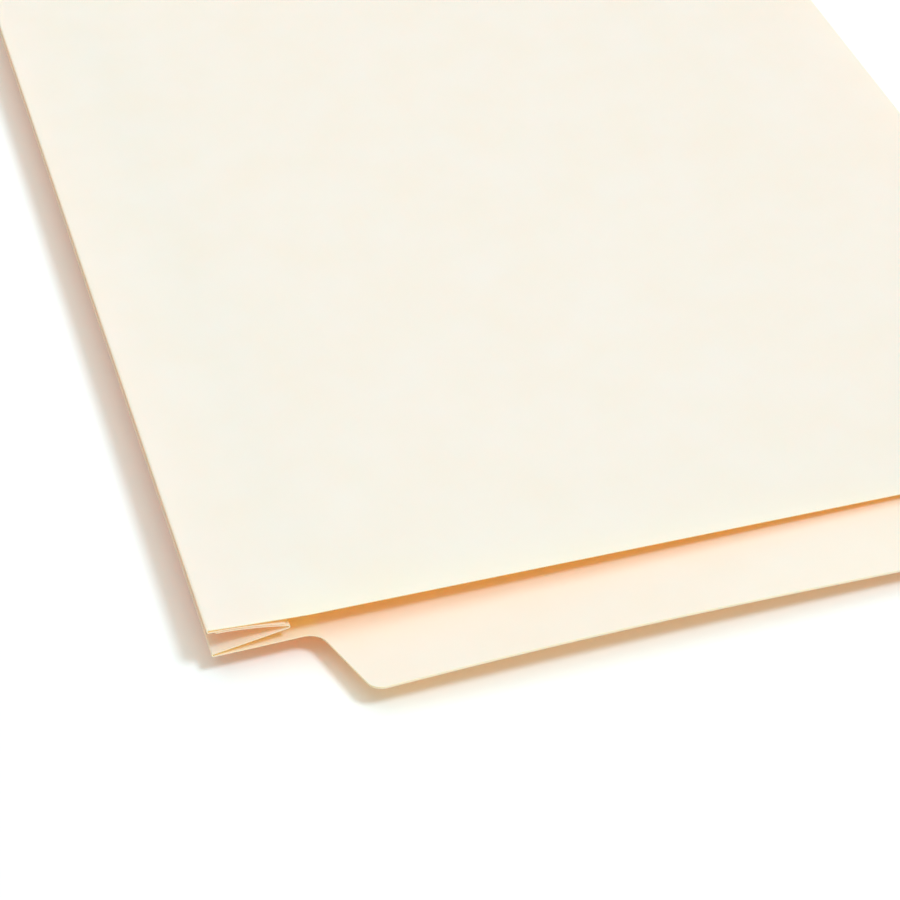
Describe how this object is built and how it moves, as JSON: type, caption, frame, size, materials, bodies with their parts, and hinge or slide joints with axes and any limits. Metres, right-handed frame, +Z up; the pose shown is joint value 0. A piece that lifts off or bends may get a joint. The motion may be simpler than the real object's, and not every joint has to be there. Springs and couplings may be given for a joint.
{
  "type": "file folder",
  "caption": "End-tab file folder of manila card: a back cover with a straight-cut tab along one end, a pleated expansion spine and a front cover that opens like a book.",
  "frame": {"origin": "centre of the folder's footprint, on the surface that it lies on", "axes": "+X along the tab end, from the pleated spine to the free edges; +Y along the spine, away from the tab; +Z up, out of the front cover"},
  "size_m": [0.242, 0.3112, 0.0152],
  "materials": {
    "manila_cover": "smooth calendered manila card with a faint sheen",
    "manila_tab_ply": "second ply of the same manila card, bonded flat",
    "manila_pleat": "scored and folded manila card, matte"
  },
  "bodies": {
    "back": {"back_cover": "manila_cover", "tab_reinforcement": "manila_tab_ply"},
    "pleat_lower": {"gusset_lower_ply": "manila_pleat"},
    "pleat_upper": {"gusset_upper_ply": "manila_pleat", "front_glue_flap": "manila_pleat"},
    "spine_fold": {"front_spine_fold": "manila_cover"},
    "front": {"front_cover": "manila_cover"}
  },
  "joints": [
    {"name": "pleat_lower_fold", "type": "hinge", "parent": "back", "child": "pleat_lower", "pos_m": [-0.11984, 0.0111, 0.00711], "axis": [0, -1, 0], "range_deg": [0, 70]},
    {"name": "pleat_inner_crease", "type": "hinge", "parent": "pleat_lower", "child": "pleat_upper", "pos_m": [-0.10207, 0.0111, 0.01094], "axis": [0, 1, 0], "range_deg": [0, 140]},
    {"name": "pleat_upper_fold", "type": "hinge", "parent": "pleat_upper", "child": "spine_fold", "pos_m": [-0.12017, 0.0111, 0.01425], "axis": [0, -1, 0], "range_deg": [0, 70]},
    {"name": "front_cover_fold", "type": "hinge", "parent": "spine_fold", "child": "front", "pos_m": [-0.11725, 0.0111, 0.01514], "axis": [0, -1, 0], "range_deg": [0, 183]}
  ],
  "couplings": [
    {"joint": "pleat_inner_crease", "follows": "pleat_upper_fold", "ratio": 2},
    {"joint": "pleat_lower_fold", "follows": "pleat_upper_fold", "ratio": 1}
  ]
}
